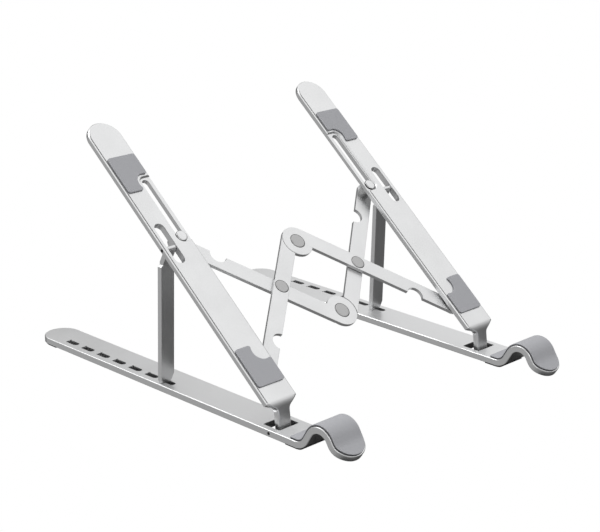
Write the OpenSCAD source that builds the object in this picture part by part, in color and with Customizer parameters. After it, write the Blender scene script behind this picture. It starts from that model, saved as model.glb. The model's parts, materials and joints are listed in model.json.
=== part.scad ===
// Folding aluminium laptop stand: two hooked base bars, two sloping arms held up by props,
// and a scissor of four cross bars under the arms that lets the two sides close together.
// Millimetres. X runs across the stand, -Y is the hook end, Z is up from the desk.
// The right side (+X) is drawn once, and the left side is its mirror image.

/* [Bars] */
// Width of the base bars and of the arms
bar_w = 22.5; // [21:0.5:24]
// Thickness of the base bars and of the arms
bar_t = 4; // [3.6:0.1:4.4]
// Chamfer along the edges of the bars
bar_edge = 0.6; // [0.3:0.1:0.8]

/* [Base] */
// From the arm hinge to the rounded back end
back_reach = 201.2; // [195:0.2:210]
// From the arm hinge to the start of the hook
hook_reach = 19.6; // [19:0.2:24]
// Number of height slots
slot_count = 7; // [3:1:7]
// Distance between the height slots
slot_pitch = 14.5; // [14:0.5:16]
// Length of a height slot
slot_l = 9.4; // [9:0.1:10]
// Width of a height slot
slot_w = 4; // [4:0.1:4.6]
// From the arm hinge to the tab in the slot that the props stand in
prop_slot_y = 87.6; // [87.4:0.1:87.8]

/* [Hook] */
// Radius of the top face in the valley of the hook
valley_r = 6.5; // [5:0.5:8]
// Angle of the hook's ramp
ramp_angle = 60; // [50:1:62]
// Straight length of the ramp
ramp_l = 5.4; // [4:0.2:7]
// Radius of the top face over the crest
crest_r = 10.1; // [9:0.1:12]
// Angle of the falling face
fall_angle = 58; // [50:1:62]
// Straight length of the falling face
fall_l = 2.2; // [1:0.2:4]
// Radius of the top face where the hook flattens into its tongue
flare_r = 9; // [6:0.5:10]
// Slope of the tongue
tongue_angle = 32; // [20:1:40]
// Straight length of the tongue
tongue_l = 7.2; // [5:0.2:9]

/* [Arms] */
// Slope of the arms
arm_angle = 39.5; // [39:0.5:40]
// Height of the arm's top face above the arm hinge, square to the arm
arm_rise = 11.9; // [11.5:0.1:12.2]
// From the arm hinge to the upper end, along the arm
arm_reach = 207.4; // [200:0.1:212]
// Width of the neck at the arm's lower end
neck_w = 9.6; // [9:0.2:10.4]
// Forward lean of the neck
neck_lean = 8; // [6:1:10]
// Radius of the top face in the bend from the arm to the neck
neck_r = 7; // [6:0.5:9]
// From the arm hinge to the prop pin, along the arm
prop_pin_s = 117.7; // [117.5:0.1:117.9]

/* [Cross bars] */
// From a cross bar's pivot on the arm to its middle rivet
long_l = 65.6; // [64:0.2:67]
// From a cross bar's middle rivet to its centre rivet
short_l = 40.6; // [39:0.2:42]
// Width of a cross bar
cross_w = 10; // [9:0.2:10]
// Thickness of a cross bar
cross_t = 2.2; // [1.8:0.1:2.2]
// From the arm hinge to the line through the middle rivets, along the arm
cross_s = 76.6; // [76:0.1:77]

/* [Props] */
// Width of a prop
prop_w = 9.8; // [9:0.2:10]
// Thickness of a prop
prop_t = 3.1; // [2.8:0.1:3.2]
// From the prop pin back to the prop's middle plane
prop_back = 4.2; // [4:0.1:4.4]

/* [Pads and feet] */
// Thickness of the pads on the arms
pad_t = 1; // [0.8:0.1:1.5]
// Thickness of the skin on the hook
skin_t = 1.1; // [0.8:0.1:1.5]
// Thickness of the rubber feet
foot_t = 0.8; // [0.6:0.1:1.2]

/* [Hidden] */
$fn = 96;
many = 2;                        // how far a cutting tool runs past the face it cuts
slim = 0.02;                     // a stretch that follows a bend is this much slimmer
seat = 0.2;                      // and starts this far inside the bend
run = 0.05;                      // running clearance of a pin in its hole
gap = 0.3;                       // clearance between other faces that move past each other

open_angle = 45;                 // between a cross bar and the line across the stand
eye_e = 5.1;                     // from a centre rivet to its bar's middle line
eye_r = eye_e + cross_w / 2;
eye_lean = asin(eye_e / short_l);
eye_reach = long_l + short_l * cos(eye_lean);
eye_gap = 0.1;                   // between the two lapped halves of an eye
notch_r = 5.3;
lane_x = long_l * cos(open_angle) + short_l * cos(open_angle - eye_lean);
lane_in = 4.9;                   // from an arm's inner edge to the cross bars' pivots
bar_x = lane_x - lane_in + bar_w / 2;
lane = lane_x - bar_x;
line = 5;                        // line of the height slots and the prop windows in a bar
slider_s = cross_s + long_l * sin(open_angle);
pivot_s = cross_s - long_l * sin(open_angle);
slide_travel = 2 * long_l * (1 - sin(open_angle));

hook_run = (valley_r + crest_r) * sin(ramp_angle) + ramp_l * cos(ramp_angle)
    + crest_r * sin(fall_angle) + fall_l * cos(fall_angle)
    + flare_r * (sin(fall_angle) - sin(tongue_angle)) + tongue_l * cos(tongue_angle);
base_z = foot_t + bar_t;
hinge_z = base_z - bar_t / 2;
hinge_y = (hook_reach + hook_run - back_reach) / 2;
hinge_r = 1.0;
slot_front_r = slot_w / 2;
slot_back = 4.2;                 // from a prop's tab to the back of its slot
relief_r = 0.6;
window_w = 14.9;                 // window in the base for the neck
window_front = 4.4;
window_back = 7.8;
foot_w = bar_w - 1.6;
skin_w = bar_w - 1.8;
skin_lead = 4.8;                 // flat length of the skin before the valley

neck_turn = 90 - arm_angle - neck_lean;
neck_low = 9.6;                  // the neck's shoulders, measured from the hinge
neck_high = 14.6;
neck_fillet = 3;
neck_start = (arm_rise * cos(neck_turn) - bar_t / 2) / sin(neck_turn)
    + neck_r * tan(neck_turn / 2);
neck_l = (neck_start - neck_r * sin(neck_turn)) * cos(neck_turn)
    + (arm_rise - neck_r * (1 - cos(neck_turn))) * sin(neck_turn);
arm_low = arm_rise - bar_t;
slider_r = 2.2;
slider_slot_r = slider_r + gap;
slider_head_r = 3.35;
recess_t = 1.1;
recess_floor_r = 3.7;
recess_top_r = 4.5;
prop_window_w = 6.6;
prop_window_low = 106.3;
prop_window_high = 133.8;

pad_w = 19.6;
pad_l = 25;
pad_corner = 1.7;
pad_notch_r = 6.1;
pad_notch_l = 4.4;               // from the pad's notched end to the middle of the notch
upper_pad_s = 156.8;
lower_pad_s = 46.6;

rivet_r = 2;
under_gap = 0.6;                 // between an arm and the cross bars
layer_gap = 0.3;                 // between the upper and the lower pair of cross bars
upper_n = arm_low - under_gap;
lower_n = upper_n - cross_t - layer_gap;
thin_head = 0.3;
thick_head = 0.8;
head_gap = 0.05;
middle_head_r = 4.1;
centre_head_r = 4.6;
collar_r = 3.6;

prop_lean = 0.85;
prop_pin_n = arm_rise - bar_t / 2;
prop_pin_r = 1;
prop_in = 5.3;                   // from the prop line to the prop's inner edge
prop_neck_w = 6;
prop_neck_angle = 25.5;
prop_neck_l = prop_back / tan(prop_neck_angle);
prop_top = prop_neck_l + 0.5;
prop_top_cut_w = 2.4;
prop_top_cut_h = 1.6;
prop_pin_z = prop_pin_s * sin(arm_angle) + prop_pin_n * cos(arm_angle);
prop_low = (prop_pin_z - bar_t / 2 - 0.2 + prop_back * sin(prop_lean)) / cos(prop_lean);
foot_cut_w = 2.2;
foot_cut_h = 4.2;
tab_w = 3.7;
tab_l = 2.4;

metal = [0.82, 0.83, 0.84];
metal_shade = [0.74, 0.75, 0.76];
silicone = [0.64, 0.65, 0.67];
rubber = [0.12, 0.12, 0.12];
steel = [0.72, 0.72, 0.74];

// ---------- Frames ----------

// What is drawn on the right side, seen on the left
module left() mirror([1, 0, 0]) children();

// At the right bar's middle line, with y and z counted from the arm hinge
module on_base() translate([bar_x, hinge_y, hinge_z]) children();

// At the same place, with y along the arm and z square to its top face
module on_arm() on_base() rotate([arm_angle, 0, 0]) children();

// The same for the cross bars, whose x is counted from the middle of the stand
module on_scissor() on_arm() translate([-bar_x, 0, 0]) children();

// At the prop pin, with z along the prop
module on_prop() on_arm() translate([line, prop_pin_s, prop_pin_n])
    rotate([prop_lean - arm_angle, 0, 0]) children();

// ---------- Bar tools ----------

// Cross-section of a bar: its top face is at y = 0
module section(w, t, edge) polygon([
    [edge - w / 2, 0], [w / 2 - edge, 0], [w / 2, -edge], [w / 2, edge - t],
    [w / 2 - edge, -t], [edge - w / 2, -t], [-w / 2, edge - t], [-w / 2, -edge]]);

// Every stretch starts at y = 0, heads for -y, and has its top face at z = 0
module straight(l, w, t, edge) rotate([90, 0, 0]) linear_extrude(l) section(w, t, edge);

module seated(l, w, t, edge) translate([0, seat, -slim])
    straight(l + seat, w - 2 * slim, t - 2 * slim, edge);

// r is the radius of the top face
module bend_up(r, a, w, t, edge) translate([0, 0, r]) rotate(a = 180, v = [1, 0, -1])
    rotate_extrude(angle = a) rotate(90) translate([0, -r]) section(w, t, edge);

module bend_down(r, a, w, t, edge) translate([0, 0, -r]) rotate(a = 180, v = [1, 0, 1])
    rotate_extrude(angle = a) rotate(-90) translate([0, r]) section(w, t, edge);

module round_end(w, t, edge) rotate(180) rotate_extrude(angle = 180) polygon([
    [0, 0], [w / 2 - edge, 0], [w / 2, -edge], [w / 2, edge - t], [w / 2 - edge, -t],
    [0, -t]]);

module after_up(r, a) translate([0, -r * sin(a), r * (1 - cos(a))]) rotate([-a, 0, 0])
    children();

module after_down(r, a) translate([0, -r * sin(a), r * (cos(a) - 1)]) rotate([a, 0, 0])
    children();

module along_x(r, x0, x1) translate([x0, 0, 0]) rotate([0, 90, 0])
    cylinder(h = x1 - x0, r = r);

// Slot along y with round ends, whose centres are at y0 and y1
module obround(y0, y1, r) {
    translate([-r, y0]) square([2 * r, y1 - y0]);
    for (y = [y0, y1]) translate([0, y]) circle(r);
}

module rounded(w, l, r) {
    square([w, l - 2 * r], center = true);
    square([w - 2 * r, l], center = true);
    for (x = [-1, 1], y = [-1, 1])
        translate([x * (w / 2 - r), y * (l / 2 - r)]) circle(r);
}

// ---------- Hook ----------

// Where each stretch of the hook starts. lift is the height of a layer's top face above
// the bar's own, so that the skin follows the bar.
module at_ramp(lift) after_up(valley_r - lift, ramp_angle) children();

module at_crest(lift) at_ramp(lift) translate([0, -ramp_l, 0]) children();

module at_fall(lift) at_crest(lift)
    after_down(crest_r + lift, ramp_angle + fall_angle) children();

module at_flare(lift) at_fall(lift) translate([0, -fall_l, 0]) children();

module at_tongue(lift) at_flare(lift)
    after_up(flare_r - lift, fall_angle - tongue_angle) children();

module hook(w, t, edge, lift, l) {
    difference() {
        union() {
            bend_up(valley_r - lift, ramp_angle, w, t, edge);
            at_ramp(lift) seated(ramp_l, w, t, edge);
            at_crest(lift) bend_down(crest_r + lift, ramp_angle + fall_angle, w, t, edge);
            at_fall(lift) seated(fall_l, w, t, edge);
            at_flare(lift) bend_up(flare_r - lift, fall_angle - tongue_angle, w, t, edge);
            at_tongue(lift) seated(l, w, t, edge);
        }
        at_tongue(lift) translate([0, w / 2 - l, -t - many])
            linear_extrude(t + 2 * many) difference() {
                translate([-w, -w]) square([2 * w, w]);
                circle(w / 2 - slim - seat / 4);
            }
    }
}

// ---------- Base ----------

// Square at the back with a relief in its inner corner, round at the front
module height_slot() {
    slot_front = slot_back - slot_l + slot_front_r;
    translate([0, slot_front]) circle(slot_front_r);
    translate([-slot_w / 2, slot_front]) square([slot_w, slot_back - slot_front]);
    translate([-slot_w / 2, slot_back]) circle(relief_r);
}

module base_bar() color(metal) on_base() translate([0, 0, bar_t / 2]) {
    difference() {
        union() {
            translate([0, back_reach - bar_w / 2, 0]) {
                straight(back_reach - bar_w / 2 + hook_reach, bar_w, bar_t, bar_edge);
                rotate(180) round_end(bar_w, bar_t, bar_edge);
            }
            translate([0, -hook_reach, 0]) hook(bar_w, bar_t, bar_edge, 0, tongue_l);
        }
        for (i = [0 : slot_count - 1])
            translate([line, prop_slot_y + i * slot_pitch, -bar_t - many])
                linear_extrude(bar_t + 2 * many) height_slot();
        translate([0, (window_back - window_front) / 2, -bar_t - many])
            linear_extrude(bar_t + 2 * many)
                rounded(window_w, window_back + window_front, 0.8);
        translate([0, 0, -bar_t / 2]) along_x(hinge_r, -window_w / 2 - 2.5, bar_w);
    }
}

module hook_skin() color(silicone) on_base()
    translate([0, -hook_reach, bar_t / 2 + skin_t]) {
        translate([0, skin_lead, 0]) straight(skin_lead, skin_w, skin_t, 0.2);
        hook(skin_w, skin_t, 0.2, skin_t, tongue_l - 0.9);
    }

module back_foot() color(rubber) on_base()
    translate([0, back_reach - bar_w / 2, -bar_t / 2]) {
        straight(6, foot_w, foot_t, 0.15);
        rotate(180) round_end(foot_w, foot_t, 0.15);
    }

module front_foot() color(rubber) on_base() translate([0, -hook_reach, -bar_t / 2]) {
    translate([0, 8.4, 0]) straight(8.4, foot_w, foot_t, 0.15);
    bend_up(valley_r + bar_t, 22, foot_w, foot_t, 0.15);
}

module hinge_pin() color(steel) on_base()
    along_x(hinge_r, -window_w / 2 - 2.5, bar_w / 2 - 0.5);

// ---------- Arms ----------

// What is cut away beside the neck, with a fillet at the foot of each sloping shoulder
module neck_sides() {
    slope = atan2(neck_high - neck_low, (bar_w - neck_w) / 2);
    cut = neck_fillet * tan(45 - slope / 2);
    fillet = [for (i = [0 : 8]) let (a = 180 - (90 - slope) * i / 8) [
        neck_w / 2 + neck_fillet * (1 + cos(a)), neck_low - cut + neck_fillet * sin(a)]];
    for (side = [0, 1]) mirror([side, 0]) polygon(concat(
        [[neck_w / 2, -bar_w]], fillet,
        [[bar_w / 2 + 1, neck_high + tan(slope)], [bar_w, neck_high + tan(slope)],
         [bar_w, -bar_w]]));
}

module arm_strip() {
    translate([0, arm_reach - bar_w / 2, arm_rise]) {
        straight(arm_reach - bar_w / 2 - neck_start, bar_w, bar_t, bar_edge);
        rotate(180) round_end(bar_w, bar_t, bar_edge);
    }
    difference() {
        translate([0, neck_start, arm_rise]) {
            bend_down(neck_r, neck_turn, bar_w, bar_t, bar_edge);
            after_down(neck_r, neck_turn) seated(neck_l, bar_w, bar_t, bar_edge);
        }
        rotate([neck_turn / 2, 0, 0]) translate([0, 0, -bar_w])
            linear_extrude(2 * bar_w) neck_sides();
    }
    along_x(bar_t / 2, -neck_w / 2, neck_w / 2);
}

// Shallow recess round the slider's slot, with a sloping wall, open at the inner edge
module slider_recess() {
    low = slider_s;
    high = slider_s + slide_travel;
    inner = -bar_w / 2 - many;
    profile = [[recess_floor_r, 0], [recess_top_r, recess_t], [recess_top_r, 2 * recess_t]];
    translate([lane, 0, arm_rise - recess_t]) {
        for (s = [low, high]) translate([0, s, 0]) rotate_extrude()
            polygon(concat(profile, [[0, 2 * recess_t], [0, 0]]));
        translate([0, high, 0]) rotate([90, 0, 0]) linear_extrude(high - low)
            polygon(concat(profile, [[inner, 2 * recess_t], [inner, 0]]));
        rotate([90, 0, -90]) linear_extrude(-inner) polygon([
            [-low + recess_floor_r, 0], [-low + recess_top_r, recess_t],
            [-low + recess_top_r, 2 * recess_t], [-high - recess_top_r, 2 * recess_t],
            [-high - recess_top_r, recess_t], [-high - recess_floor_r, 0]]);
    }
}

module arm() color(metal) on_arm() {
    difference() {
        arm_strip();
        along_x(hinge_r + run, -neck_w, neck_w);
        slider_recess();
        translate([0, 0, arm_low - many]) linear_extrude(bar_t + 2 * many) {
            translate([lane, 0]) obround(slider_s, slider_s + slide_travel, slider_slot_r);
            translate([line, 0]) obround(prop_window_low + prop_window_w / 2,
                prop_window_high - prop_window_w / 2, prop_window_w / 2);
        }
        translate([0, prop_pin_s, prop_pin_n]) along_x(prop_pin_r, -0.8, bar_w);
        translate([lane, pivot_s, arm_low - many])
            cylinder(h = bar_t + 2 * many, r = rivet_r);
    }
}

// The notch is round the end of the slider's recess
module pad_outline() {
    difference() {
        translate([0, pad_l / 2 - pad_notch_l]) rounded(pad_w, pad_l, pad_corner);
        translate([lane, 0]) circle(pad_notch_r);
        translate([lane - pad_w, -pad_w]) square([pad_w + pad_notch_r, pad_w]);
    }
}

module upper_pad() color(silicone) on_arm()
    translate([0, upper_pad_s + pad_notch_l, arm_rise]) linear_extrude(pad_t) pad_outline();

module lower_pad() color(silicone) on_arm()
    translate([0, lower_pad_s - pad_notch_l, arm_rise]) linear_extrude(pad_t)
        mirror([0, 1]) pad_outline();

// Pressed into the arm under the lower pad
module pivot_pin() color(steel) on_arm() translate([lane, pivot_s, 0]) {
    foot = upper_n - cross_t - head_gap - thick_head;
    translate([0, 0, foot]) cylinder(h = arm_rise - 0.3 - foot, r = rivet_r);
    translate([0, 0, foot]) cylinder(h = thick_head, r = middle_head_r);
}

module pivot_spacer() color(steel) on_arm()
    translate([lane, pivot_s, upper_n + head_gap]) linear_extrude(under_gap - head_gap)
        difference() {
            circle(collar_r);
            circle(rivet_r);
        }

// ---------- Props ----------

// Side view: a plate behind its pin, with a narrower neck bent forward to the pin
module prop_neck() {
    h = prop_t / 2;
    mitre = h * tan(prop_neck_angle / 2);
    nose = [h * cos(prop_neck_angle), h * sin(prop_neck_angle)];
    translate([-prop_neck_w / 2, 0, 0]) rotate([90, 0, 90]) linear_extrude(prop_neck_w)
        polygon([
            nose, [prop_back + h, mitre - prop_neck_l], [prop_back + h, -prop_top - 1],
            [prop_back - h, -prop_top - 1], [prop_back - h, -mitre - prop_neck_l], -nose]);
    along_x(h, -prop_neck_w / 2, prop_neck_w / 2);
}

// The foot has one corner cut away: the outer one on the right prop, the inner one on the
// left, so that both props are the same part
module prop_front(cut_outer) {
    cut_x = [cut_outer ? 0 : foot_cut_w, cut_outer ? prop_w - foot_cut_w : prop_w];
    cut_y = [cut_outer ? 0 : foot_cut_h, cut_outer ? foot_cut_h : 0];
    translate([-prop_in, 0]) polygon([
        [0, -prop_top - prop_top_cut_h], [prop_top_cut_w, -prop_top],
        [prop_w - prop_top_cut_w, -prop_top], [prop_w, -prop_top - prop_top_cut_h],
        [prop_w, cut_y[1] - prop_low], [cut_x[1], -prop_low],
        [cut_x[0], -prop_low], [0, cut_y[0] - prop_low]]);
    translate([-tab_w / 2, -prop_low - tab_l]) square([tab_w, tab_l + 1]);
}

module prop(cut_outer) color(metal_shade) on_prop() {
    difference() {
        union() {
            prop_neck();
            translate([0, prop_back + prop_t / 2, 0]) rotate([90, 0, 0])
                linear_extrude(prop_t) prop_front(cut_outer);
        }
        along_x(prop_pin_r + run, -prop_neck_w, prop_neck_w);
    }
}

module prop_pin() color(steel) on_arm() translate([0, prop_pin_s, prop_pin_n])
    along_x(prop_pin_r, -0.8, bar_w / 2 - 0.5);

// ---------- Cross bars ----------

// The arm pivot is at the origin, the middle rivet is along x, and the centre rivet's eye
// is set over to +y. The notch clears the other centre rivet when the stand is closed.
module cross_outline() {
    difference() {
        union() {
            circle(cross_w / 2);
            translate([0, -cross_w / 2]) square([eye_reach, cross_w]);
            translate([eye_reach, eye_e]) circle(eye_r);
        }
        translate([long_l - short_l * cos(eye_lean), cross_w / 2]) circle(notch_r);
    }
}

// Half the thickness is cut away round the eye, where the other bar's eye lies
module cross_bar(eye, pivot_r) {
    cut_h = cross_t / 2 + eye_gap / 2 + many;
    cut_z = eye == "upper" ? -cross_t - many : -cross_t / 2 - eye_gap / 2;
    color(metal_shade) difference() {
        translate([0, 0, -cross_t]) linear_extrude(cross_t) cross_outline();
        translate([eye_reach, eye_e, cut_z]) cylinder(h = cut_h, r = eye_r + gap);
        translate([0, 0, -cross_t - many]) {
            cylinder(h = cross_t + 2 * many, r = pivot_r);
            for (place = [[long_l, 0], [eye_reach, eye_e]])
                translate(place) cylinder(h = cross_t + 2 * many, r = rivet_r + run);
        }
    }
}

module pivot_bar(eye) on_scissor() translate([lane_x, pivot_s, upper_n])
    rotate(180 - open_angle) cross_bar(eye, rivet_r + run);

module slider_bar(eye) on_scissor() translate([lane_x, slider_s, lower_n])
    rotate(180 + open_angle) mirror([0, 1, 0]) cross_bar(eye, slider_r);

module slider_pin() color(steel) on_arm() translate([lane, slider_s, 0]) {
    foot = lower_n - cross_t - thick_head;
    floor_n = arm_rise - recess_t + head_gap;
    translate([0, 0, foot]) {
        cylinder(h = floor_n + 0.1 - foot, r = slider_r);
        cylinder(h = thick_head, r = collar_r);
    }
    translate([0, 0, floor_n]) cylinder(h = 0.5, r = slider_head_r);
}

module slider_collar() color(steel) on_arm() translate([lane, slider_s, lower_n])
    linear_extrude(arm_low - head_gap - lower_n) difference() {
        circle(collar_r);
        circle(slider_r);
    }

// Rivet through z from low to high. A rise lifts its upper head clear of a bar that turns
// on it, and a drop lowers the lower head.
module rivet(low, high, head_r, upper, rise, lower, drop) color(steel) {
    translate([0, 0, low - drop - lower])
        cylinder(h = high + rise + upper - low + drop + lower, r = rivet_r);
    translate([0, 0, high + rise]) cylinder(h = upper, r = head_r);
    translate([0, 0, low - drop - lower]) cylinder(h = lower, r = head_r);
}

module middle_rivet() on_scissor()
    translate([lane_x - long_l * cos(open_angle), cross_s, 0])
        rivet(lower_n - cross_t, upper_n, middle_head_r, thin_head, 0, thick_head, head_gap);

// Level of a centre rivet above the line of the middle rivets
function centre_rise() = short_l * sin(open_angle - eye_lean);

module upper_centre_rivet() on_scissor() translate([0, cross_s + centre_rise(), 0])
    rivet(upper_n - cross_t, upper_n, centre_head_r, thin_head, head_gap, thick_head, 0);

module lower_centre_rivet() on_scissor() translate([0, cross_s - centre_rise(), 0])
    rivet(lower_n - cross_t, lower_n, centre_head_r, thick_head, 0, thick_head, head_gap);

// ---------- Nodes ----------

left() base_bar();  // base_bar_left
base_bar();  // base_bar_right
left() hook_skin();  // hook_skin_left
hook_skin();  // hook_skin_right
left() back_foot();  // back_foot_left
back_foot();  // back_foot_right
left() front_foot();  // front_foot_left
front_foot();  // front_foot_right
left() hinge_pin();  // hinge_pin_left
hinge_pin();  // hinge_pin_right
left() arm();  // arm_left
arm();  // arm_right
left() upper_pad();  // upper_pad_left
upper_pad();  // upper_pad_right
left() lower_pad();  // lower_pad_left
lower_pad();  // lower_pad_right
left() prop(false);  // prop_left
prop(true);  // prop_right
left() prop_pin();  // prop_pin_left
prop_pin();  // prop_pin_right
left() pivot_pin();  // pivot_pin_left
pivot_pin();  // pivot_pin_right
left() pivot_spacer();  // pivot_spacer_left
pivot_spacer();  // pivot_spacer_right
left() pivot_bar("lower");  // pivot_bar_left
pivot_bar("upper");  // pivot_bar_right
left() slider_bar("upper");  // slider_bar_left
slider_bar("lower");  // slider_bar_right
left() slider_pin();  // slider_pin_left
slider_pin();  // slider_pin_right
left() slider_collar();  // slider_collar_left
slider_collar();  // slider_collar_right
left() middle_rivet();  // middle_rivet_left
middle_rivet();  // middle_rivet_right
upper_centre_rivet();
lower_centre_rivet();
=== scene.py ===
"""Folding aluminium laptop stand: bars, pads, props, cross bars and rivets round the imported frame.

Shapes are drawn in millimetres in the part's own local frames, and placed on the frame's joints.
"""
import json
import math

import bmesh
import bpy
from mathutils import Matrix, Vector
from mathutils.geometry import tessellate_polygon


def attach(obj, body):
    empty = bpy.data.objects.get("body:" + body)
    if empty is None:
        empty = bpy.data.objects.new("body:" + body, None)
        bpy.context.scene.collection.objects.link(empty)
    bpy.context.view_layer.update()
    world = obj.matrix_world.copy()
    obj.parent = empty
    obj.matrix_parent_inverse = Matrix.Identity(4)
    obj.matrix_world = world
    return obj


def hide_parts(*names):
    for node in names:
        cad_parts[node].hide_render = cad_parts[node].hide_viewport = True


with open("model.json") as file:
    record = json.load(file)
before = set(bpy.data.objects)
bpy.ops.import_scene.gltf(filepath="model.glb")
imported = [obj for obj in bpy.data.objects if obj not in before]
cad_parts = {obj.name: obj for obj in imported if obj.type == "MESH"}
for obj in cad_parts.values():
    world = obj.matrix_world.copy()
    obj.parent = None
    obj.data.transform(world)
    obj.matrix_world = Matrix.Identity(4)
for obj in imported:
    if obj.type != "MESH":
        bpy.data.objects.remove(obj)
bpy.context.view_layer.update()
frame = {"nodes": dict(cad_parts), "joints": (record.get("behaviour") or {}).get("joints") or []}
JOINTS = {j["name"]: j for j in frame["joints"]}
MM = 0.001

# ---------- Sizes, in millimetres and degrees ----------

# Bars
BAR_W = 22.5
BAR_T = 4.0
LINE = 5.0                       # line of the height slots and prop windows, from a bar's middle

# Base bar: distances from the arm's hinge
BACK_REACH = 201.2
HOOK_REACH = 19.6
SLOT_COUNT = 7
SLOT_PITCH = 14.5
SLOT_FIRST = 87.6
SLOT_L = 9.4
SLOT_W = 4.0
SLOT_BACK = 4.2
RELIEF_R = 0.6
WINDOW = (-4.4, 7.8, 14.9)       # front, back and width
WINDOW_CORNER = 0.8
HINGE_R = 1.0
HINGE_SOCKET = 2.5               # depth of the hinge pin's socket in the window's inner wall

# Hook: (radius, turn) of each bend and (length, 0) of each straight stretch
VALLEY = (6.5, 60)
RAMP = (5.4, 0)
CREST = (10.1, -118)
FALL = (2.2, 0)
FLARE = (9, 26)
TONGUE = (7.2, 0)
HOOK_PATH = (VALLEY, RAMP, CREST, FALL, FLARE, TONGUE)

# Feet and skins
FOOT_T = 0.8
FOOT_MARGIN = 1.6                # of both edges together
FOOT_CORNER = 0.8
FOOT_EDGE = 0.25
FRONT_FOOT_FLAT = 8.4            # flat length of the front foot
FRONT_FOOT_TURN = 22             # how far it follows the valley
BACK_FOOT_FLAT = 6.0
SKIN_T = 1.1
SKIN_LEAD = 4.8
SKIN_MARGIN = 0.9
SKIN_CORNER = 1.0
SKIN_EDGE = 0.3
SKIN_SHADE = 0.78                # height of the skin's lower band, painted dark as shade

# Arm: distances along it from the hinge, and heights square to it
ARM_RISE = 11.9
ARM_REACH = 207.4
NECK_W = 9.6
NECK_R = 7.0
NECK_LEAN = 8.0
NECK_HIGH = 1.6                  # the shoulders, from the start of the neck's bend
NECK_LOW = 6.7
NECK_FILLET = 3.0
KNUCKLE_STEPS = 8
LANE_IN = 4.9
LANE = LANE_IN - BAR_W / 2       # line of the slider's slot, from the arm's middle
PROP_PIN_S = 117.7
PROP_PIN_R = 1.0
PROP_PIN_IN = 0.8                # inner end of its bore, from the arm's middle
PROP_WINDOW = (106.3, 133.8, 6.6)
SLIDER_R = 2.2
SLIDER_SLOT_R = 2.5
SLIDER_HEAD_R = 3.35
RECESS_T = 1.1
RECESS_FLOOR = 3.7
RECESS_TOP = 4.5
RECESS_OVERRUN = 3               # its cutter runs this far past the arm's inner edge
PAD_W = 19.6
PAD_L = 25.0
PAD_T = 1.0
PAD_CORNER = 1.7
PAD_EDGE = 0.28
PAD_SHADE = 0.3                  # height of a pad's lower band, painted dark as shade
PAD_NOTCH_R = 6.1
PAD_NOTCH_L = 4.4
PAD_NOTCH_FILLET = 1.3
UPPER_PAD_S = 156.8
LOWER_PAD_S = 46.6

# Cross bars and rivets
LONG_L = 65.6
SHORT_L = 40.6
CROSS_W = 10.0
CROSS_T = 2.2
CROSS_S = 76.6
CROSS_EDGE = 0.18
EYE_E = 5.1
OPEN_ANGLE = 45.0
NOTCH_R = 5.3
RIVET_R = 2.0
MIDDLE_HEAD_R = 4.1
CENTRE_HEAD_R = 4.6
COLLAR_R = 3.6
# Crowns of the heads: (distance in from the edge, height)
RIVET_CROWN = ((0, 0.02), (0.08, 0.14), (0.3, 0.22), (0.7, 0.24))
PIN_CROWN = ((0, 0.1), (0.1, 0.26), (0.35, 0.36), (0.9, 0.42))
SKIRT_GAP = 0.02                 # between a rivet's skirt, painted dark as shade, and its seat's wall
SKIRT_DROP = 0.08                # from the bar's face down to the skirt
PIN_SKIRT = (0.04, 0.4, 0.2)     # lower and upper level over the recess's floor, and width
LOWER_HEAD_T = 0.75
LOWER_HEAD_EDGE = 0.25
SEAT_GAP = 0.3                   # between a rivet's head and the edge of its seat
SEAT_DEPTH = 0.5
UNDER_GAP = 0.6
LAYER_GAP = 0.3
LAP_GAP = 0.1
SIDE_GAP = 0.3
RUN_GAP = 0.05

# Prop: distances from its pin
PROP_W = 9.8
PROP_T = 3.1
PROP_BACK = 4.2
PROP_IN = 5.3
PROP_LEAN = 0.85
PROP_EDGE = 0.3
PROP_NECK_W = 6.0
PROP_NECK_ANGLE = 25.5
PROP_NECK_LAP = 3.0              # how far the neck runs down inside the plate
PROP_TOP_LIP = 0.5
PROP_TOP_W = 2.4
PROP_TOP_H = 1.6
PROP_CLEAR = 0.2                 # between the prop's foot and the base bar
FOOT_CUT_W = 2.2
FOOT_CUT_H = 4.2
TAB_W = 3.7
TAB_L = 2.4

PAST = 1                         # how far a cutter runs past the face it cuts
ROUND_STEPS = 48                 # steps of a bar's round end or an eye
FINE_STEPS = 32                  # steps of a bore
LATHE_STEPS = 64
BEND_STEP = 5                    # degrees
SIDES = ("right", "left")


def sin(a):
    return math.sin(math.radians(a))


def cos(a):
    return math.cos(math.radians(a))


ARM_AXIS = Vector(JOINTS["width"]["axis"])
ARM_ANGLE = math.degrees(math.atan2(-ARM_AXIS.y, ARM_AXIS.z))
EYE_LEAN = math.degrees(math.asin(EYE_E / SHORT_L))
EYE_R = EYE_E + CROSS_W / 2
EYE_REACH = LONG_L + SHORT_L * cos(EYE_LEAN)
SLIDER_S = CROSS_S + LONG_L * sin(OPEN_ANGLE)
PIVOT_S = CROSS_S - LONG_L * sin(OPEN_ANGLE)
SLIDE_TRAVEL = 2 * LONG_L * (1 - sin(OPEN_ANGLE))
LANE_X = LONG_L * cos(OPEN_ANGLE) + SHORT_L * cos(OPEN_ANGLE - EYE_LEAN)
CENTRE_RISE = SHORT_L * sin(OPEN_ANGLE - EYE_LEAN)
ARM_LOW = ARM_RISE - BAR_T
UPPER_N = ARM_LOW - UNDER_GAP
LOWER_N = UPPER_N - CROSS_T - LAYER_GAP
NECK_TURN = 90 - ARM_ANGLE - NECK_LEAN
NECK_START = (ARM_RISE * cos(NECK_TURN) - BAR_T / 2) / sin(NECK_TURN) \
    + NECK_R * math.tan(math.radians(NECK_TURN / 2))
NECK_L = (NECK_START - NECK_R * sin(NECK_TURN)) * cos(NECK_TURN) \
    + (ARM_RISE - NECK_R * (1 - cos(NECK_TURN))) * sin(NECK_TURN)
PROP_PIN_N = ARM_RISE - BAR_T / 2

# ---------- Frames ----------

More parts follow.
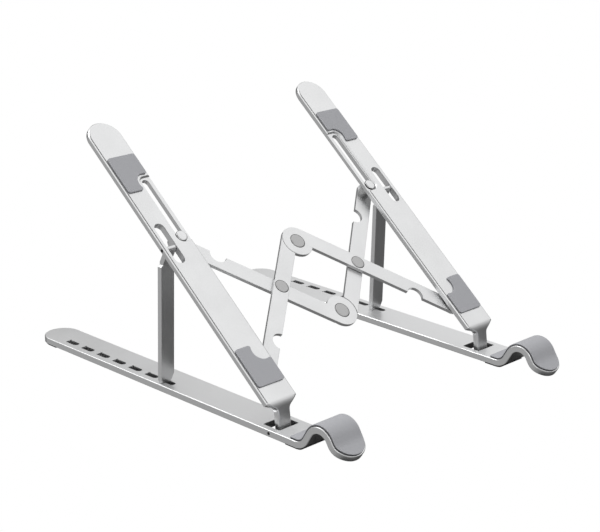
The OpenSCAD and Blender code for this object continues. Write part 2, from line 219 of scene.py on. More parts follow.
HINGE = Vector(JOINTS["right_tilt"]["pos_m"])
SCALE = Matrix.Scale(MM, 4)
TURN = Matrix.Rotation(math.radians(ARM_ANGLE), 4, "X")
MIRROR = Matrix.Scale(-1, 4, Vector((1, 0, 0)))
FLIPS = {"right": Matrix.Identity(4), "left": MIRROR}
TURN_OVER = Matrix.Scale(-1, 4, Vector((0, 1, 0)))
ON_TOP = Matrix.Translation((0, 0, BAR_T / 2))
BASE = Matrix.Translation(HINGE) @ SCALE
ARM = Matrix.Translation(HINGE) @ TURN @ SCALE
SCISSOR = Matrix.Translation((0, HINGE.y, HINGE.z)) @ TURN @ SCALE
PROP = Matrix.Translation(Vector(JOINTS["right_prop_fold"]["pos_m"])) \
    @ Matrix.Rotation(math.radians(PROP_LEAN), 4, "X") @ SCALE

# ---------- Outlines ----------


def arc(x, y, r, start, end, steps):
    """Points on an arc, from one angle to another in degrees."""
    turn = (end - start) / steps
    return [(x + r * cos(start + turn * i), y + r * sin(start + turn * i))
            for i in range(steps + 1)]


def circle(x, y, r, steps):
    return arc(x, y, r, 0, 360, steps)[:-1]


def obround(x, low, high, r, steps=14):
    """A slot along y with round ends, whose centres are at low and high."""
    return arc(x, high, r, 0, 180, steps) + arc(x, low, r, 180, 360, steps)


def rounded(x, y, w, l, r, steps=5):
    """A rectangle with round corners."""
    points = []
    for i, (kx, ky) in enumerate(((1, 1), (-1, 1), (-1, -1), (1, -1))):
        points += arc(x + kx * (w / 2 - r), y + ky * (l / 2 - r), r,
                      90 * i, 90 * i + 90, steps)
    return points


def area(loop):
    return sum(a[0] * b[1] - b[0] * a[1] for a, b in zip(loop, loop[1:] + loop[:1])) / 2


def inset(loop, d):
    """The loop moved by d towards its left side."""
    points = []
    for i, p in enumerate(loop):
        before = (Vector(p) - Vector(loop[i - 1])).normalized()
        after = (Vector(loop[(i + 1) % len(loop)]) - Vector(p)).normalized()
        a = Vector((-before.y, before.x))
        b = Vector((-after.y, after.x))
        points.append(Vector(p) + (a + b) * (d / (1 + a.dot(b))))
    return points


# ---------- Solids ----------


def both_sides(t, top):
    """Levels of a plate t thick, from those of its top edge, which start on the side face."""
    return [(-t - z, d) for z, d in reversed(top)] + top


# Levels of (height, inset). Edge of a base bar: a chamfer with slightly rounded corners
BASE_EDGE = both_sides(BAR_T, [(-0.50, 0), (-0.35, 0.05), (-0.11, 0.27), (-0.03, 0.39), (0, 0.53)])
# Edge of an arm: a chamfer, and a shallower one above it
ARM_EDGE = both_sides(BAR_T, [(-0.87, 0), (-0.72, 0.05), (-0.24, 0.51), (-0.17, 0.60),
                              (-0.03, 0.96), (0, 1.12)])
# The edges of holes take this share of those insets
BASE_HOLE_EDGE = 0.15
ARM_HOLE_EDGE = 0.12
CROSS_HOLE_EDGE = 0.2


def soft_edge(low, high, r, steps=3):
    """Levels of a plate from low to high whose edges are rounded by r."""
    top = [(high - r * (1 - sin(90 * i / steps)), r * (1 - cos(90 * i / steps)))
           for i in range(steps + 1)]
    bottom = [(low + high - z, d) for z, d in reversed(top)]
    return bottom + top


def plate(outline, levels, holes=(), hole_edge=1):
    """Solid between levels of (height, inset). Holes take a part of the outline's inset."""
    bm = bmesh.new()
    loops = [outline if area(outline) > 0 else outline[::-1]]
    loops += [hole if area(hole) < 0 else hole[::-1] for hole in holes]
    rings = []
    for z, d in levels:
        ring = []
        for i, loop in enumerate(loops):
            share = hole_edge if i else 1
            ring.append([bm.verts.new((p.x, p.y, z)) for p in inset(loop, d * share)])
        rings.append(ring)
    for low, high in zip(rings, rings[1:]):
        for a, b in zip(low, high):
            for i in range(len(a)):
                bm.faces.new((a[i - 1], a[i], b[i], b[i - 1]))
    for ring in (rings[0], rings[-1]):
        flat = [v for loop in ring for v in loop]
        for tri in tessellate_polygon([[v.co for v in loop] for loop in ring]):
            bm.faces.new([flat[i] for i in tri])
    bmesh.ops.recalc_face_normals(bm, faces=bm.faces)
    return bm


def lathe(profile):
    """Solid of revolution about z from (radius, height) points that start and end on the axis."""
    bm = bmesh.new()
    rings = []
    for r, z in profile:
        if r == 0:
            rings.append([bm.verts.new((0, 0, z))])
        else:
            rings.append([bm.verts.new((x, y, z)) for x, y in circle(0, 0, r, LATHE_STEPS)])
    for low, high in zip(rings, rings[1:]):
        for i in range(LATHE_STEPS):
            corners = [low[i - 1] if len(low) > 1 else low[0],
                       low[i] if len(low) > 1 else None,
                       high[i] if len(high) > 1 else high[0],
                       high[i - 1] if len(high) > 1 else None]
            bm.faces.new([v for v in corners if v])
    bmesh.ops.recalc_face_normals(bm, faces=bm.faces)
    return bm


def moved(bm, matrix):
    bmesh.ops.transform(bm, matrix=matrix, verts=bm.verts)
    return bm


def along_x(r, x0, x1, y, z):
    """Round cutter along x."""
    bm = plate(circle(0, 0, r, FINE_STEPS), [(x0, 0), (x1, 0)])
    return moved(bm, Matrix.Translation((0, y, z)) @ Matrix.Rotation(math.pi / 2, 4, "Y"))


def as_object(bm):
    mesh = bpy.data.meshes.new("work")
    bm.to_mesh(mesh)
    bm.free()
    obj = bpy.data.objects.new("work", mesh)
    bpy.context.scene.collection.objects.link(obj)
    return obj


def combine(bm, others, operation="DIFFERENCE"):
    """The solid with the others cut from it or joined to it."""
    obj = as_object(bm)
    tools = [as_object(other) for other in others]
    for tool in tools:
        boolean = obj.modifiers.new("boolean", "BOOLEAN")
        boolean.operation = operation
        boolean.solver = "EXACT"
        boolean.object = tool
    bpy.context.view_layer.update()
    result = bmesh.new()
    result.from_object(obj, bpy.context.evaluated_depsgraph_get())
    for spent in tools + [obj]:
        bpy.data.objects.remove(spent)
    return result


# ---------- Bending ----------


def stretch_length(size, turn):
    return math.radians(abs(turn)) * size if turn else size


def path_length(path):
    return sum(stretch_length(size, turn) for size, turn in path)


def follow(path, s, h):
    """(y, z) at distance s along a path that heads for -y, h above it."""
    y = 0.0
    z = 0.0
    a = 0.0
    for size, turn in path:
        part = min(s, stretch_length(size, turn))
        if turn:
            side = math.copysign(1, turn)
            end = a + side * math.degrees(part / size)
            y += side * size * (sin(a) - sin(end))
            z += side * size * (cos(a) - cos(end))
            a = end
        else:
            y -= part * cos(a)
            z += part * sin(a)
        s -= part
        if s <= 0:
            break
    y -= s * cos(a)
    z += s * sin(a)
    return y + h * sin(a), z + h * cos(a)


def slice_at(bm, y):
    """Adds a ring of edges across the plate."""
    bmesh.ops.bisect_plane(bm, geom=bm.verts[:] + bm.edges[:] + bm.faces[:],
                           plane_co=(0, y, 0), plane_no=(0, 1, 0))


def bend(bm, start, path):
    """Bends a flat plate along a path that begins at y = start and heads for -y."""
    s = 0
    for size, turn in path:
        length = stretch_length(size, turn)
        parts = max(1, round(abs(turn) / BEND_STEP))
        for i in range(parts + 1):
            slice_at(bm, start - s - length * i / parts)
        s += length
    for v in bm.verts:
        if v.co.y < start:
            y, z = follow(path, start - v.co.y, v.co.z)
            v.co.y, v.co.z = start + y, z
    return bm


# ---------- Materials ----------

NOISE_RANGE = (0.3, 0.7)


def material(name, colour, rough, metallic):
    mat = bpy.data.materials.new(name)
    mat.use_nodes = True
    shader = mat.node_tree.nodes["Principled BSDF"]
    shader.inputs["Base Color"].default_value = (*colour, 1)
    shader.inputs["Roughness"].default_value = rough
    shader.inputs["Metallic"].default_value = metallic
    return mat, mat.node_tree, shader


def noise(tree, scale, detail):
    """Noise in the part's frame; scale is in features per metre."""
    coords = tree.nodes.new("ShaderNodeTexCoord")
    texture = tree.nodes.new("ShaderNodeTexNoise")
    texture.inputs["Scale"].default_value = scale
    texture.inputs["Detail"].default_value = detail
    tree.links.new(coords.outputs["Object"], texture.inputs["Vector"])
    return texture.outputs["Fac"]


def spread(tree, value, low, high):
    """A noise value, most of which lies in NOISE_RANGE, spread over low to high."""
    node = tree.nodes.new("ShaderNodeMapRange")
    node.inputs["From Min"].default_value = NOISE_RANGE[0]
    node.inputs["From Max"].default_value = NOISE_RANGE[1]
    node.inputs["To Min"].default_value = low
    node.inputs["To Max"].default_value = high
    tree.links.new(value, node.inputs["Value"])
    return node.outputs["Result"]


def tint(tree, value, dark, light):
    """A colour between dark and light."""
    node = tree.nodes.new("ShaderNodeMix")
    node.data_type = "RGBA"
    node.inputs["A"].default_value = (*dark, 1)
    node.inputs["B"].default_value = (*light, 1)
    tree.links.new(value, node.inputs["Factor"])
    return node.outputs["Result"]


def bump(tree, value, depth, strength):
    node = tree.nodes.new("ShaderNodeBump")
    node.inputs["Strength"].default_value = strength
    node.inputs["Distance"].default_value = depth
    tree.links.new(value, node.inputs["Height"])
    return node.outputs["Normal"]


def blasted_metal(name, tone, rough):
    """Bead-blasted aluminium with a silver anodised skin: fine pits and a faint cloudiness."""
    colour = (tone * 0.995, tone, tone * 1.005)
    mat, tree, shader = material(name, colour, rough, 1.0)
    pits = noise(tree, 5200, 1.0)
    cloud = noise(tree, 60, 3.0)
    low = tuple(c * 0.97 for c in colour)
    high = tuple(min(1, c * 1.03) for c in colour)
    mottle = tint(tree, spread(tree, pits, 0, 1), low, high)
    tree.links.new(mottle, shader.inputs["Base Color"])
    tree.links.new(spread(tree, cloud, rough - 0.03, rough + 0.03), shader.inputs["Roughness"])
    tree.links.new(bump(tree, pits, 0.00002, 0.25), shader.inputs["Normal"])
    return mat


def turned_metal(name, tone, rough):
    """Rivet heads: a coarser, slightly pitted skin."""
    mat, tree, shader = material(name, (tone, tone, tone), rough, 1.0)
    pits = noise(tree, 2400, 3.0)
    mottle = tint(tree, spread(tree, pits, 0, 1), (tone * 0.9,) * 3, (tone * 1.08,) * 3)
    tree.links.new(mottle, shader.inputs["Base Color"])
    tree.links.new(spread(tree, pits, rough - 0.06, rough + 0.06), shader.inputs["Roughness"])
    tree.links.new(bump(tree, pits, 0.00004, 0.3), shader.inputs["Normal"])
    return mat


def silicone_skin(name, colour):
    """Matte silicone: a powdery grain and a little sheen."""
    mat, tree, shader = material(name, colour, 0.72, 0.0)
    grain = noise(tree, 3600, 2.0)
    cloud = noise(tree, 90, 3.0)
    low = tuple(c * 0.95 for c in colour)
    high = tuple(c * 1.05 for c in colour)
    tree.links.new(tint(tree, spread(tree, grain, 0, 1), low, high),
                   shader.inputs["Base Color"])
    tree.links.new(spread(tree, cloud, 0.66, 0.78), shader.inputs["Roughness"])
    tree.links.new(bump(tree, grain, 0.00003, 0.35), shader.inputs["Normal"])
    shader.inputs["Specular IOR Level"].default_value = 0.15
    return mat


SHARP_ANGLE = 38
METAL = blasted_metal("blasted_aluminium", 0.80, 0.32)
CROSS_METAL = blasted_metal("cross_bar_aluminium", 0.80, 0.34)
RIVET = turned_metal("rivet_head", 0.50, 0.36)
STEEL = turned_metal("pin_steel", 0.45, 0.38)
# Near-black steel: painted shade on the rivets' and slider pins' skirts and on the hinge and prop
# pins in their bores
PAINTED_SHADE_STEEL = turned_metal("painted_shade_steel", 0.04, 0.5)
SILICONE = silicone_skin("grey_silicone", (0.52, 0.525, 0.55))
# Dark silicone for the lower band of the hook skins' and pads' sides: painted shade
PAINTED_SHADE_SILICONE = silicone_skin("silicone_painted_shade", (0.14, 0.14, 0.15))
RUBBER = silicone_skin("black_rubber", (0.03, 0.03, 0.03))

# ---------- Pieces ----------


def shade_between(bm, low, high):
    """Faces at these heights take the piece's second, darker material: painted shade."""
    for face in bm.faces:
        face.material_index = int(low < face.calc_center_median().z < high)
    return bm


def piece(name, bm, matrix, body, nodes, mat):
    """A finished piece: placed, shaded and riding on its body, with its CAD nodes hidden."""
    moved(bm, matrix)
    bmesh.ops.remove_doubles(bm, verts=bm.verts, dist=1e-7)
    bmesh.ops.recalc_face_normals(bm, faces=bm.faces)
    mesh = bpy.data.meshes.new(name)
    bm.to_mesh(mesh)
    bm.free()
    mesh.materials.append(mat)
    # The second material is painted shade: dark silicone on skins and pads, near-black steel
    # elsewhere
    if any(face.material_index for face in mesh.polygons):
        mesh.materials.append(PAINTED_SHADE_SILICONE if mat is SILICONE else PAINTED_SHADE_STEEL)
    mesh.shade_smooth()
    mesh.set_sharp_from_angle(angle=math.radians(SHARP_ANGLE))
    obj = bpy.data.objects.new(name, mesh)
    bpy.context.scene.collection.objects.link(obj)
    normals = obj.modifiers.new("normals", "WEIGHTED_NORMAL")
    normals.keep_sharp = True
    normals.weight = 100
    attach(obj, body)
    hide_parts(*nodes)


def pair(name, make, matrix, body, mat):
    """The right-hand piece and its mirror image on the left."""
    for side in SIDES:
        node = f"{name}_{side}"
        piece(f"{node}_skin", make(), FLIPS[side] @ matrix, f"{body}_{side}", [node], mat)


def height_slot(y):
    """Square at the back with a relief in its inner corner, round at the front."""
    high = y + SLOT_BACK
    low = high - SLOT_L
    x = LINE - SLOT_W / 2
    front = arc(LINE, low + SLOT_W / 2, SLOT_W / 2, 180, 360, 12)
    return front + [(LINE + SLOT_W / 2, high)] + arc(x, high, RELIEF_R, 0, 270, 12)


def base_bar():
    tip = -HOOK_REACH - path_length(HOOK_PATH)
    outline = arc(0, BACK_REACH - BAR_W / 2, BAR_W / 2, 0, 180, ROUND_STEPS) \
        + arc(0, tip + BAR_W / 2, BAR_W / 2, 180, 360, ROUND_STEPS)
    holes = [height_slot(SLOT_FIRST + i * SLOT_PITCH) for i in range(SLOT_COUNT)]
    front, back, width = WINDOW
    holes.append(rounded(0, (front + back) / 2, width, back - front, WINDOW_CORNER))
    bm = plate(outline, BASE_EDGE, holes, BASE_HOLE_EDGE)
    bend(bm, -HOOK_REACH, HOOK_PATH)
    bore = along_x(HINGE_R, -width / 2 - HINGE_SOCKET, BAR_W, 0, -BAR_T / 2)
    return moved(combine(bm, [bore]), ON_TOP)


def hook_skin():
    w = BAR_W - 2 * SKIN_MARGIN
    back = SKIN_LEAD - HOOK_REACH
    tip = SKIN_MARGIN - HOOK_REACH - path_length(HOOK_PATH)
    r = SKIN_CORNER
    outline = arc(w / 2 - r, back - r, r, 0, 90, 4) + arc(r - w / 2, back - r, r, 90, 180, 4) \
        + arc(0, tip + w / 2, w / 2, 180, 360, ROUND_STEPS)
    # The skin's lower band takes painted shade
    bm = shade_between(plate(outline, soft_edge(0, SKIN_T, SKIN_EDGE)), 0, SKIN_SHADE)
    bend(bm, -HOOK_REACH, HOOK_PATH)
    return moved(bm, ON_TOP)


def front_foot():
    wrap = math.radians(FRONT_FOOT_TURN) * VALLEY[0]
    middle = -HOOK_REACH + (FRONT_FOOT_FLAT - wrap) / 2
    outline = rounded(0, middle, BAR_W - FOOT_MARGIN, FRONT_FOOT_FLAT + wrap, FOOT_CORNER)
    bm = plate(outline, soft_edge(-BAR_T - FOOT_T, -BAR_T, FOOT_EDGE))
    bend(bm, -HOOK_REACH, (VALLEY,))
    return moved(bm, ON_TOP)


def back_foot():
    w = BAR_W - FOOT_MARGIN
    r = FOOT_CORNER
    y = BACK_REACH - BAR_W / 2
    low = y - BACK_FOOT_FLAT + r
    outline = arc(0, y, w / 2, 0, 180, 40) + arc(r - w / 2, low, r, 180, 270, 4) \
        + arc(w / 2 - r, low, r, 270, 360, 4)
    return plate(outline, soft_edge(-BAR_T / 2 - FOOT_T, -BAR_T / 2, FOOT_EDGE))


def neck_side():
    """Right edge of the neck's blank, from its lower end up to the full width."""
    run = (BAR_W - NECK_W) / 2
    rise = NECK_LOW - NECK_HIGH
    slope = math.degrees(math.atan2(rise, run))
    cut = NECK_FILLET * math.tan(math.radians(45 - slope / 2))
    fillet = arc(NECK_W / 2 + NECK_FILLET, NECK_START - NECK_LOW - cut, NECK_FILLET,
                 180, 90 + slope, 8)
    return fillet + [(BAR_W / 2, NECK_START - NECK_HIGH)]


def recess():
    """Cutter for the recess round the slider's slot, open at the arm's inner edge."""
    high = SLIDER_S + SLIDE_TRAVEL
    inner = -BAR_W / 2 - LANE - RECESS_OVERRUN
    outline = arc(0, SLIDER_S, RECESS_TOP, -90, 0, 12) + arc(0, high, RECESS_TOP, 0, 90, 12) \
        + [(inner, high + RECESS_TOP), (inner, SLIDER_S - RECESS_TOP)]
    wall = RECESS_TOP - RECESS_FLOOR
    bm = plate(outline, [(-RECESS_T, wall), (0, 0), (RECESS_T, 0)])
    return moved(bm, Matrix.Translation((LANE, 0, 0)))


def arm_outline(low):
    """The arm's flat blank, whose neck ends at y = low."""
    right = neck_side()
    left = [(-x, y) for x, y in reversed(right)]
    tip = arc(0, ARM_REACH - BAR_W / 2, BAR_W / 2, 0, 180, ROUND_STEPS)
    return [(NECK_W / 2, low)] + right + tip + left + [(-NECK_W / 2, low)]


def arm_holes():
    """The slider's slot and the prop's window."""
    low, high, width = PROP_WINDOW
    return [obround(LANE, SLIDER_S, SLIDER_S + SLIDE_TRAVEL, SLIDER_SLOT_R),
            obround(LINE, low + width / 2, high - width / 2, width / 2)]


def round_knuckle(bm, end):
    """Rounds the neck's end over the hinge pin, past y = end."""
    knuckle = BAR_T / 2
    for i in range(KNUCKLE_STEPS):
        slice_at(bm, end - knuckle * sin(90 * i / KNUCKLE_STEPS))
    for v in bm.verts:
        past = min(1, max(0, end - v.co.y) / knuckle)
        v.co.z = -knuckle + (v.co.z + knuckle) * math.sqrt(1 - past * past)


def arm():
    path = ((NECK_R, -NECK_TURN), (NECK_L, 0))
    end = NECK_START - path_length(path)
    bm = combine(plate(arm_outline(end - BAR_T / 2), ARM_EDGE, arm_holes(), ARM_HOLE_EDGE),
                 [recess()])
    round_knuckle(bm, end)
    bend(bm, NECK_START, path)
    moved(bm, Matrix.Translation((0, 0, ARM_RISE)))
    return combine(bm, [along_x(PROP_PIN_R, -PROP_PIN_IN, BAR_W, PROP_PIN_S, PROP_PIN_N)])


def pad_outline():
    """A rounded rectangle with a notch round the end of the slider's recess."""
    low = -PAD_NOTCH_L
    high = PAD_L - PAD_NOTCH_L
    inner = -PAD_W / 2
    outer = PAD_W / 2
    r = PAD_CORNER
    f = PAD_NOTCH_FILLET
    notch = PAD_NOTCH_R
    # Fillet where the notch meets the inner edge, and where it runs out at the notched end
    side_x = inner + f
    side_y = math.sqrt((notch + f) ** 2 - (side_x - LANE) ** 2)
    side = math.degrees(math.atan2(side_y, side_x - LANE))
    end_y = low + f
    end_x = LANE + math.sqrt((notch + f) ** 2 - end_y ** 2)
    end = math.degrees(math.atan2(end_y, end_x - LANE))
    return arc(outer - r, low + r, r, -90, 0, 6) + arc(outer - r, high - r, r, 0, 90, 6) \
        + arc(inner + r, high - r, r, 90, 180, 6) + arc(side_x, side_y, f, 180, 180 + side, 6) \
        + arc(LANE, 0, notch, side, end, 20)[1:-1] + arc(end_x, end_y, f, 180 + end, 270, 8)


def upper_pad():
    # The pad's lower band takes painted shade
    bm = shade_between(plate(pad_outline(), soft_edge(0, PAD_T, PAD_EDGE, 4)), 0, PAD_SHADE)
    return moved(bm, Matrix.Translation((0, UPPER_PAD_S + PAD_NOTCH_L, ARM_RISE)))


def lower_pad():
    """The same pad turned end for end."""
    # The pad's lower band takes painted shade
    bm = shade_between(plate(pad_outline(), soft_edge(0, PAD_T, PAD_EDGE, 4)), 0, PAD_SHADE)
    place = Matrix.Translation((0, LOWER_PAD_S - PAD_NOTCH_L, ARM_RISE))
    return moved(bm, place @ TURN_OVER)


def prop_front(top, cut_outer):
    """The prop's plate from the front: a foot with one corner cut away, over a tab."""
    pin_z = PROP_PIN_S * sin(ARM_ANGLE) + PROP_PIN_N * cos(ARM_ANGLE)
    low = -(pin_z - BAR_T / 2 - PROP_CLEAR + PROP_BACK * sin(PROP_LEAN)) / cos(PROP_LEAN)
    inner = -PROP_IN
    outer = PROP_W - PROP_IN
    inner_foot = [(inner + FOOT_CUT_W, low), (inner, low + FOOT_CUT_H)]
    outer_foot = [(outer, low)]
    if cut_outer:
        inner_foot = [(inner, low)]
        outer_foot = [(outer, low + FOOT_CUT_H), (outer - FOOT_CUT_W, low)]
    head = [(inner, top - PROP_TOP_H), (inner + PROP_TOP_W, top), (outer - PROP_TOP_W, top),
            (outer, top - PROP_TOP_H)]
    tab = [(TAB_W / 2, low), (TAB_W / 2, low - TAB_L), (-TAB_W / 2, low - TAB_L),
           (-TAB_W / 2, low)]
    return head + outer_foot + tab + inner_foot


def prop_side(length, top):
    """The prop's neck from the side: it leans back from the pin and runs down in the plate."""
    h = PROP_T / 2
    mitre = h * math.tan(math.radians(PROP_NECK_ANGLE / 2))
    end = top - PROP_NECK_LAP
    return arc(0, 0, h, PROP_NECK_ANGLE, PROP_NECK_ANGLE + 180, 16) \
        + [(PROP_BACK - h, -length - mitre), (PROP_BACK - h, end), (PROP_BACK + h, end),
           (PROP_BACK + h, mitre - length)]


def prop(cut_outer):
    h = PROP_T / 2
    length = PROP_BACK / math.tan(math.radians(PROP_NECK_ANGLE))
    top = -length - PROP_TOP_LIP
    upright = Matrix.Translation((0, PROP_BACK, 0)) @ Matrix.Rotation(math.pi / 2, 4, "X")
    sheet = moved(plate(prop_front(top, cut_outer), soft_edge(-h, h, PROP_EDGE)), upright)
    edgewise = Matrix(((0, 0, 1, 0), (1, 0, 0, 0), (0, 1, 0, 0), (0, 0, 0, 1)))
    levels = soft_edge(-PROP_NECK_W / 2, PROP_NECK_W / 2, PROP_EDGE)
    neck = moved(plate(prop_side(length, top), levels), edgewise)
    return combine(sheet, [neck], "UNION")


def cross_bar(upper, seats):
    """Cross bar with its arm pivot at the origin and the centre rivet's eye over to +y.

    Two bars lap at each centre rivet, and upper says which half of the eye this one has.
    """
    half = CROSS_W / 2
    notch = LONG_L - SHORT_L * cos(EYE_LEAN)
    meet = math.degrees(math.asin((half - EYE_E) / EYE_R))
    outline = arc(0, 0, half, 90, 270, 24) \
        + arc(EYE_REACH, EYE_E, EYE_R, -90, 180 - meet, ROUND_STEPS) \
        + arc(notch, half, NOTCH_R, 0, -180, 20)
    holes = [circle(x, y, RIVET_R + RUN_GAP, FINE_STEPS)
             for x, y in ((LONG_L, 0), (EYE_REACH, EYE_E))]
    bm = plate(outline, soft_edge(-CROSS_T, 0, CROSS_EDGE, 2), holes, CROSS_HOLE_EDGE)
    cut = CROSS_T / 2 + LAP_GAP / 2
    lap = [(-CROSS_T - PAST, 0), (cut - CROSS_T, 0)] if upper else [(-cut, 0), (PAST, 0)]
    cutters = [plate(circle(EYE_REACH, EYE_E, EYE_R + SIDE_GAP, 72), lap)]
    for x, y, r in seats:
        cutters.append(plate(circle(x, y, r, 64), [(-SEAT_DEPTH, 0), (PAST, 0)]))
    return combine(bm, cutters)


def pivot_bar(upper):
    seats = [(LONG_L, 0, MIDDLE_HEAD_R + SEAT_GAP)]
    if upper:
        seats.append((EYE_REACH, EYE_E, CENTRE_HEAD_R + SEAT_GAP))
    place = Matrix.Translation((LANE_X, PIVOT_S, UPPER_N)) \
        @ Matrix.Rotation(math.radians(180 - OPEN_ANGLE), 4, "Z")
    return moved(cross_bar(upper, seats), place)


def slider_bar(upper):
    seats = [(EYE_REACH, EYE_E, CENTRE_HEAD_R + SEAT_GAP)] if upper else []
    place = Matrix.Translation((LANE_X, SLIDER_S, LOWER_N)) \
        @ Matrix.Rotation(math.radians(180 + OPEN_ANGLE), 4, "Z") @ TURN_OVER
    return moved(cross_bar(upper, seats), place)


def lower_head(z, r, shank):
    """Profile of a flat lower head under z, up to the shank."""
    return [(0, z - LOWER_HEAD_T), (r - LOWER_HEAD_EDGE, z - LOWER_HEAD_T),
            (r, z - LOWER_HEAD_T + LOWER_HEAD_EDGE), (r, z), (shank, z)]


def rivet(x, y, low, high, r):
    """Rivet with a crowned upper head in a skirt that fills its seat and is painted dark as shade,
    and a flat lower head.
    """
    skirt = r + SEAT_GAP - SKIRT_GAP
    floor = high - SEAT_DEPTH
    rim = high - SKIRT_DROP
    seat = [(RIVET_R, floor), (skirt, floor), (skirt, rim), (r, rim)]
    crown = [(r - d, high + h) for d, h in RIVET_CROWN]
    top = [(r * 0.5, high + 0.27), (0, high + 0.28)]
    bm = lathe(lower_head(low, r, RIVET_R) + seat + crown + top)
    # The skirt in the seat takes painted shade
    return moved(shade_between(bm, floor - 0.01, rim + 0.04), Matrix.Translation((x, y, 0)))


def slider_pin():
    """Pin with a crowned head on a skirt in the arm's recess, painted dark as shade, and a flat
    lower head.
    """
    floor = ARM_RISE - RECESS_T
    r = SLIDER_HEAD_R
    low, high, width = PIN_SKIRT
    low += floor
    high += floor
    seat = [(SLIDER_R, low), (r + width, low), (r + width, high), (r, high)]
    crown = [(r - d, high + h) for d, h in PIN_CROWN]
    bm = lathe(lower_head(LOWER_N - CROSS_T, COLLAR_R, SLIDER_R) + seat + crown
               + [(0, high + 0.45)])
    # The skirt in the recess takes painted shade
    return moved(shade_between(bm, floor, high + 0.02), Matrix.Translation((LANE, SLIDER_S, 0)))


def build_bars():
    pair("base_bar", base_bar, BASE, "base", METAL)
    pair("arm", arm, ARM, "arm", METAL)
    for side in ("left", "right"):
        node = f"prop_{side}"
        piece(f"{node}_skin", prop(side == "right"), FLIPS[side] @ PROP, node, [node],
              CROSS_METAL)


def build_rubber():
    pair("hook_skin", hook_skin, BASE, "base", SILICONE)
    pair("front_foot", front_foot, BASE, "base", RUBBER)
    pair("back_foot", back_foot, BASE, "base", RUBBER)
    pair("upper_pad", upper_pad, ARM, "arm", SILICONE)
    pair("lower_pad", lower_pad, ARM, "arm", SILICONE)


def build_scissor():
    for kind, make, upper_side in (("pivot_bar", pivot_bar, "right"),
                                   ("slider_bar", slider_bar, "left")):
        for side in ("left", "right"):
            node = f"{kind}_{side}"
            piece(f"{node}_skin", make(side == upper_side), FLIPS[side] @ SCISSOR, node, [node],
                  CROSS_METAL)


def centre_rivet(name, y, low, high, body):
    bm = rivet(0, y, low, high, CENTRE_HEAD_R)
    piece(f"{name}_skin", bm, SCISSOR, body, [name], RIVET)


def build_rivets():
    x = LANE_X - LONG_L * cos(OPEN_ANGLE)
    low = LOWER_N - CROSS_T
    pair("middle_rivet", lambda: rivet(x, CROSS_S, low, UPPER_N, MIDDLE_HEAD_R),
         SCISSOR, "pivot_bar", RIVET)
    pair("slider_pin", slider_pin, ARM, "slider_bar", METAL)
    centre_rivet("upper_centre_rivet", CROSS_S + CENTRE_RISE, UPPER_N - CROSS_T, UPPER_N,
                 "pivot_bar_left")
    centre_rivet("lower_centre_rivet", CROSS_S - CENTRE_RISE, low, LOWER_N, "slider_bar_left")


def finish_hidden_pins():
    """The small turned parts keep their CAD shape."""
    # The hinge and prop pins are near-black: painted shade in their bores
    looks = {"hinge_pin": PAINTED_SHADE_STEEL, "prop_pin": PAINTED_SHADE_STEEL, "pivot_pin": STEEL,
             "pivot_spacer": STEEL, "slider_collar": STEEL}
    for name, look in looks.items():
        for side in SIDES:
            mesh = frame["nodes"][f"{name}_{side}"].data
            mesh.materials.clear()
            mesh.materials.append(look)


# ---------- Studio ----------


CAMERA_TURN = -45.93
CAMERA_LIFT = 18.3
CAMERA_ROLL = 0.84
CAMERA_LENS = 101.2
CAMERA_PLACE = (-0.6788, -0.6586, 0.3704)


def build_camera():
    back = Vector((sin(CAMERA_TURN) * cos(CAMERA_LIFT), -cos(CAMERA_TURN) * cos(CAMERA_LIFT),
                   sin(CAMERA_LIFT)))
    right = Vector((cos(CAMERA_TURN), sin(CAMERA_TURN), 0))
    up = back.cross(right)
    x = right * cos(CAMERA_ROLL) + up * sin(CAMERA_ROLL)
    y = up * cos(CAMERA_ROLL) - right * sin(CAMERA_ROLL)
    data = bpy.data.cameras.new("camera")
    data.lens = CAMERA_LENS
    data.sensor_width = 36
    camera = bpy.data.objects.new("camera", data)
    camera.matrix_world = Matrix((x, y, back)).transposed().to_4x4()
    camera.location = CAMERA_PLACE
    bpy.context.scene.collection.objects.link(camera)
    bpy.context.scene.camera = camera


def facing(tree, direction, axis, near, far):
    """1 where a direction is along the axis and 0 where it is well away from it."""
    dot = tree.nodes.new("ShaderNodeVectorMath")
    dot.operation = "DOT_PRODUCT"
    dot.inputs[1].default_value = Vector(axis).normalized()
    tree.links.new(direction, dot.inputs[0])
    node = tree.nodes.new("ShaderNodeMapRange")
    node.interpolation_type = "SMOOTHSTEP"
    node.inputs["From Min"].default_value = far
    node.inputs["From Max"].default_value = near
    tree.links.new(dot.outputs["Value"], node.inputs["Value"])
    return node.outputs["Result"]


def blend_light(tree, factor, a, b):
    """From a to b as factor goes from 0 to 1. a and b are sockets or grey levels."""
    node = tree.nodes.new("ShaderNodeMix")
    tree.links.new(factor, node.inputs["Factor"])
    for key, value in (("A", a), ("B", b)):
        if isinstance(value, (int, float)):
            node.inputs[key].default_value = value
        else:
            tree.links.new(value, node.inputs[key])
    return node.outputs["Result"]


# Levels of the mirrored room at the sides and overhead
SIDE_LIGHT = 0.41
TOP_LIGHT = 1.07
# Dark and bright places in it: (direction, cosine within, cosine beyond, level)
DARK_AND_BRIGHT = (
    ((0, 0, -1), 0.95, 0.45, 0.18),
    ((0.66, -0.55, -0.51), 0.97, 0.55, 0.10),
    ((0.30, 0.93, -0.20), 0.95, 0.80, 0.15),
    ((0.85, 0.50, 0.20), 0.99, 0.93, 0.86),
    ((-0.31, 0.66, 0.68), 0.985, 0.945, 1.3),
    ((-0.08, -0.38, 0.92), 0.94, 0.84, 0.0),
)


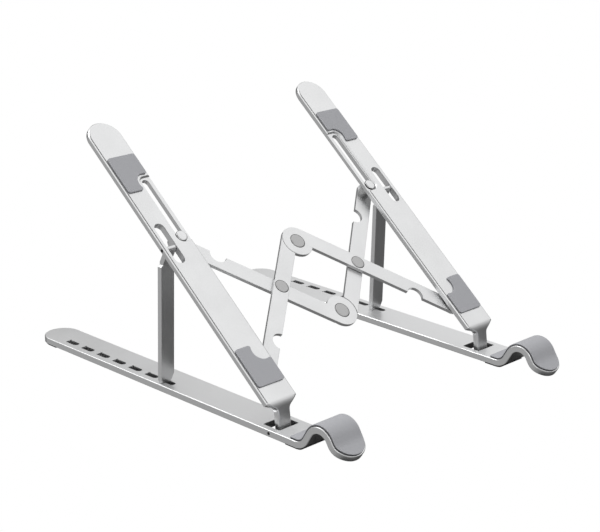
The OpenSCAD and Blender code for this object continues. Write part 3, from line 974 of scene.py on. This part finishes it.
def build_studio():
    """A white room for the camera, and a softly graded one for what the metal mirrors."""
    world = bpy.data.worlds.new("studio")
    world.use_nodes = True
    bpy.context.scene.world = world
    tree = world.node_tree
    background = tree.nodes["Background"]
    background.inputs["Color"].default_value = (1, 1, 1, 1)
    direction = tree.nodes.new("ShaderNodeTexCoord").outputs["Generated"]
    sky = facing(tree, direction, (0, 0, 1), 0.70, 0.25)
    level = blend_light(tree, sky, SIDE_LIGHT, TOP_LIGHT)
    for axis, near, far, light in DARK_AND_BRIGHT:
        level = blend_light(tree, facing(tree, direction, axis, near, far), level, light)
    path = tree.nodes.new("ShaderNodeLightPath")
    level = blend_light(tree, path.outputs["Is Camera Ray"], level, 1.0)
    tree.links.new(level, background.inputs["Strength"])


FLOOR_SIZE = 6
FLOOR_Z = -0.0002


def build_floor():
    """A white floor that the camera sees, which lights nothing."""
    bm = bmesh.new()
    bmesh.ops.create_grid(bm, x_segments=1, y_segments=1, size=FLOOR_SIZE)
    mesh = bpy.data.meshes.new("floor")
    bm.to_mesh(mesh)
    bm.free()
    mat = bpy.data.materials.new("floor_white")
    mat.use_nodes = True
    tree = mat.node_tree
    tree.nodes.clear()
    glow = tree.nodes.new("ShaderNodeEmission")
    out = tree.nodes.new("ShaderNodeOutputMaterial")
    tree.links.new(glow.outputs[0], out.inputs[0])
    mesh.materials.append(mat)
    floor = bpy.data.objects.new("floor", mesh)
    floor.location.z = FLOOR_Z
    floor.visible_glossy = False
    floor.visible_diffuse = False
    floor.visible_shadow = False
    bpy.context.scene.collection.objects.link(floor)


# Name, grey, middle and length of each card, and the levels of its two faces
CARDS = (("bar_shade", 0.02, 22, 200), ("hook_shade", 0.12, -103, 50))
CARD_LEVELS = [(-0.1, 0), (-0.05, 0)]
CARD_CORNER = 4


def build_shadow_cards():
    """Dark cards under each base bar, which only the metal mirrors: the shade under the bar."""
    for name, shade, y, length in CARDS:
        mat = material(name, (shade, shade, shade), 1.0, 0.0)[0]
        for side in (-1, 1):
            outline = rounded(side * HINGE.x / MM, y, BAR_W, length, CARD_CORNER)
            bm = plate(outline, CARD_LEVELS)
            card = as_object(moved(bm, SCALE))
            card.name = f"{name}_{side}"
            card.data.materials.append(mat)
            card.visible_camera = False
            card.visible_shadow = False


# Name, place, size and power of each lamp, and the point they face
LAMPS = (("key", (-0.6, 0.9, 1.2), 0.5, 3), ("fill", (-0.7, -0.9, 1.0), 0.7, 2))
LAMP_TARGET = Vector((0, 0, 0.05))


def build_lights():
    for name, place, size, power in LAMPS:
        light = bpy.data.lights.new(name, "AREA")
        light.size = size
        light.energy = power
        obj = bpy.data.objects.new(name, light)
        obj.location = place
        obj.rotation_euler = (Vector(place) - LAMP_TARGET).to_track_quat("Z", "Y").to_euler()
        bpy.context.scene.collection.objects.link(obj)


bpy.context.scene.view_settings.view_transform = "Standard"
build_camera()
build_bars()
build_rubber()
build_scissor()
build_rivets()
finish_hidden_pins()
build_studio()
build_floor()
build_shadow_cards()
build_lights()
